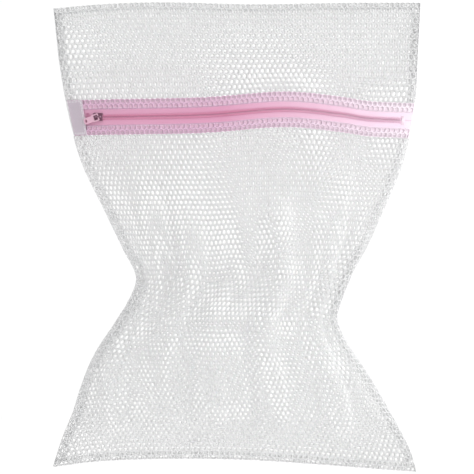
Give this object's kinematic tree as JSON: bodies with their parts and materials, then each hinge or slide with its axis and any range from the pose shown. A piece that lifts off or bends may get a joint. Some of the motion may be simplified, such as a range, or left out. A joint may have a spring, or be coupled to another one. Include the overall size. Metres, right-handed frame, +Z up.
{
  "type": "mesh laundry bag",
  "caption": "Flat-seamed net laundry bag with a coil zip across its front, narrow at the waist and swollen below, hung by its top edge.",
  "frame": {"origin": "middle of the top edge, where the bag is held or pegged", "axes": "+X across the bag to the viewer's right as its front is faced, -Y out of the front, +Z up"},
  "size_m": [0.3027, 0.1368, 0.386],
  "materials": {
    "net": "open warp-knit polyester net, matt",
    "seam_net": "doubled net with overlock thread, matt",
    "pink_tape": "woven polyester tape, satin",
    "pink_coil": "nylon monofilament coil, semi-gloss",
    "pink_thread": "sewing thread, satin",
    "core": "twisted cord, matt",
    "white_thread": "sewing thread, satin",
    "garage_net": "folded close-knit strip, matt",
    "slider_paint": "pink paint on die-cast zinc, gloss",
    "tab_paint": "pale pink paint on die-cast zinc, gloss"
  },
  "bodies": {
    "bag": {"back_panel": "net", "front_upper_panel": "net", "front_lower_panel": "net", "upper_hem": "net", "lower_hem": "net", "upper_tape": "pink_tape", "lower_tape": "pink_tape", "upper_coil": "pink_coil", "lower_coil": "pink_coil", "upper_core_cord": "core", "lower_core_cord": "core", "upper_coil_stitching": "pink_thread", "lower_coil_stitching": "pink_thread", "upper_hem_stitching": "pink_thread", "lower_hem_stitching": "pink_thread", "closed_end_tack": "pink_thread", "open_end_tack": "pink_thread", "slider_garage": "garage_net", "garage_stitching": "white_thread", "left_side_seam": "seam_net", "right_side_seam": "seam_net", "top_seam": "seam_net", "bottom_seam": "seam_net"},
    "slider": {"slider_body": "slider_paint"},
    "tab": {"pull_tab": "tab_paint"}
  },
  "joints": [
    {"name": "slider_travel", "type": "hinge", "parent": "bag", "child": "slider", "pos_m": [-0.00031, 0.48446, -0.13915], "axis": [0.007, 0.0872, 0.9962], "range_deg": [0, 27.4]},
    {"name": "pull_tab_flip", "type": "hinge", "parent": "slider", "child": "tab", "pos_m": [-0.11305, -0.01479, -0.09468], "axis": [-0.2948, 0.1511, 0.9436], "range_deg": [0, 174]}
  ]
}
